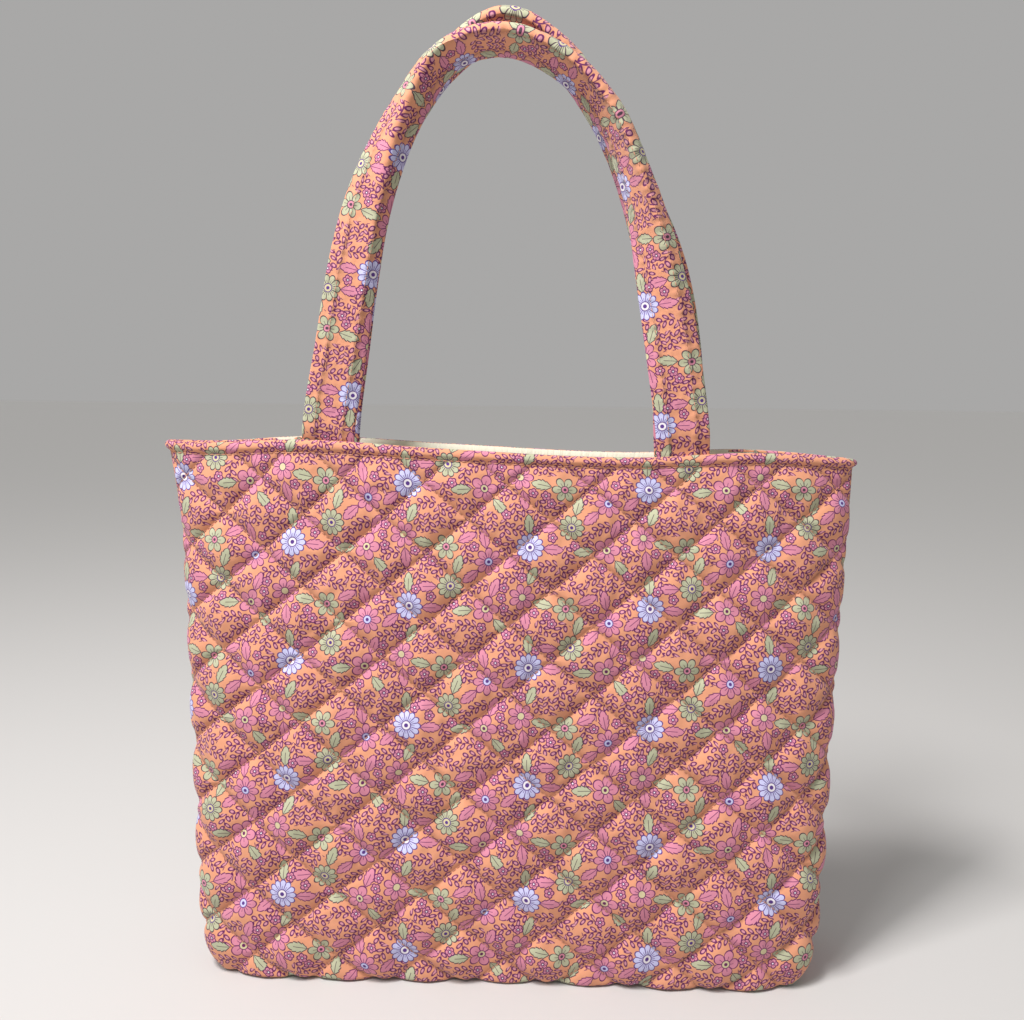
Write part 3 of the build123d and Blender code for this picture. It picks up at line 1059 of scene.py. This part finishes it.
# ---- build ------------------------------------------------------------------------------
panel_cloth = {
    "front": printed_cotton("quilted_cotton_front_look", quilted_crease),
    "back": printed_cotton("quilted_cotton_back_look", quilted_crease, (29.0, 41.0)),
}
strap_cloth = printed_cotton("strap_cotton_look", strap_crease)
thread = thread_material("sewing_thread_look", (0.72, 0.33, 0.22))
cream_thread = thread_material("lining_thread_look", (0.70, 0.66, 0.52))
cream_cloth = plain_cotton("cream_lining_look", (0.85, 0.82, 0.67), 0.9, 0.7, 0.6, 0.2)

for side, label, seed in ((-1, "front", 11), (1, "back", 23)):
    panel, cloth_u, wall_v, surface = quilted_panel(f"quilted_panel_{label}", side, seed)
    rim_line = surface[0] + (0.0, side * 0.25, 0.25)
    rim_run = (rim_line, outward(rim_line, side))
    rim_sewing = stitches(f"rim_topstitches_{label}", [rim_run], *RIM_STITCH)
    sew_on(rim_sewing, thread, "sewing_thread", f"rim_topstitch_{label}")
    quilting = quilting_stitches(f"quilting_stitches_{label}", side, cloth_u, wall_v, surface)
    sew_on(quilting, thread, "sewing_thread", f"quilting_thread_{label}")
    dress(panel, panel_cloth[label])
    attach(panel, "bag")
    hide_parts(f"outer_{label}_panel", f"wadding_{label}")

for side, label, seed in ((-1, "front", 41), (1, "back", 43)):
    lining, line = lining_half(f"lining_sheet_{label}", side, seed)
    dress(lining, cream_cloth)
    (WALL_V + BASE_HALF) * MM
    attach(lining, "bag")
    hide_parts(f"lining_{label}")
    rim_seam = stitches(f"rim_seam_stitches_{label}", [(line, -outward(line, side))], *RIM_SEAM_STITCH)
    sew_on(rim_seam, cream_thread, "sewing_thread", f"rim_seam_thread_{label}")

for side, label in ((-1, "left"), (1, "right")):
    line = seam_line(side, 0.2)
    normals = np.repeat([[side, 0.0, 0.0]], len(line), axis=0)
    side_seam = stitches(f"side_seam_stitches_{label}", [(line, normals)], *SEAM_STITCH)
    sew_on(side_seam, thread, "sewing_thread", f"side_seam_thread_{label}")

across_base = np.linspace(-BASE_SEAM_HALF, BASE_SEAM_HALF, 160)
line = np.column_stack([across_base, 0 * across_base, 0 * across_base + 0.9])
downward = np.repeat([[0.0, 0.0, -1.0]], len(line), axis=0)
base_seam = stitches("base_seam_stitches", [(line, downward)], *SEAM_STITCH)
sew_on(base_seam, thread, "sewing_thread", "base_seam_thread")

runs = []
for side in (-1, 1):
    line = seam_line(side, LINING_INSET + 0.4)
    runs.append((line, np.repeat([[-side, 0.0, 0.0]], len(line), axis=0)))
lining_seam = stitches("lining_seam_stitches", runs, *LINING_STITCH)
sew_on(lining_seam, cream_thread, "sewing_thread", "lining_seam_thread")

for label, stations, depth, offset, seed in (
    ("front", FRONT_STATIONS, (-17.5, -9.0), 11.0, 31),
    ("back", BACK_STATIONS, (17.5, 8.0), 30.0, 37),
):
    strap, sewing = make_strap(f"padded_strap_{label}", stations, *depth, seed, offset)
    dress(strap, strap_cloth)
    dress(sewing, thread)
    for piece in (strap, sewing):
        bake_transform(piece)
    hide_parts(f"{label}_strap", f"{label}_strap_core", f"{label}_strap_tails")
    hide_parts(f"{label}_strap_topstitch")

# ---- floor, lights and camera ---------------------------------------------------------
floor_material, _, floor_shader = new_material("pale_floor", 0.85)
floor_shader.inputs["Base Color"].default_value = (0.60, 0.59, 0.575, 1.0)
FLOOR_HALF = 9000.0
corners = [(x * FLOOR_HALF, y * FLOOR_HALF, 0.0) for x, y in ((-1, -1), (1, -1), (1, 1), (-1, 1))]
floor = make_mesh("floor", corners, [(0, 1, 2, 3)])
floor.data.materials.append(floor_material)

world = bpy.data.worlds.new("studio")
bpy.context.scene.world = world
world.use_nodes = True
background = world.node_tree.nodes["Background"]
background.inputs["Color"].default_value = (0.86, 0.85, 0.84, 1.0)
background.inputs["Strength"].default_value = 0.46

key_data = bpy.data.lights.new("key", "AREA")
key_data.size = 0.30
key_data.energy = 20.0
key_data.color = (1.0, 0.97, 0.97)
key = add_object("key", key_data)
key.location = (-0.50, -0.46, 1.40)
aim = (CAD_LOW + CAD_HIGH) / 2 + Vector((0, 0, 0.05))
key.rotation_euler = (aim - key.location).to_track_quat("-Z", "Y").to_euler()
sun_data = bpy.data.lights.new("sun", "SUN")
sun_data.energy = 0.95
sun_data.angle = math.radians(14)
sun = add_object("sun", sun_data)
sun.rotation_euler = Vector((-0.6, -0.6, 1.1)).to_track_quat("Z", "Y").to_euler()
bpy.context.scene.view_settings.view_transform = "Standard"

EYE = Vector((22.5, -613.5, 50.0 + RIM_Z)) * MM
YAW, PITCH, ROLL_ANGLE = 1.8, 8.2, 0.56
camera_data = bpy.data.cameras.new("camera")
camera_data.lens = 35.16
camera_data.sensor_width = 36.0
camera = add_object("camera", camera_data)
turn = Matrix.Rotation(math.radians(YAW), 4, "Z") @ Matrix.Rotation(math.radians(90 - PITCH), 4, "X")
camera.matrix_world = Matrix.Translation(EYE) @ turn @ Matrix.Rotation(math.radians(ROLL_ANGLE), 4, "Z")
bpy.context.scene.camera = camera
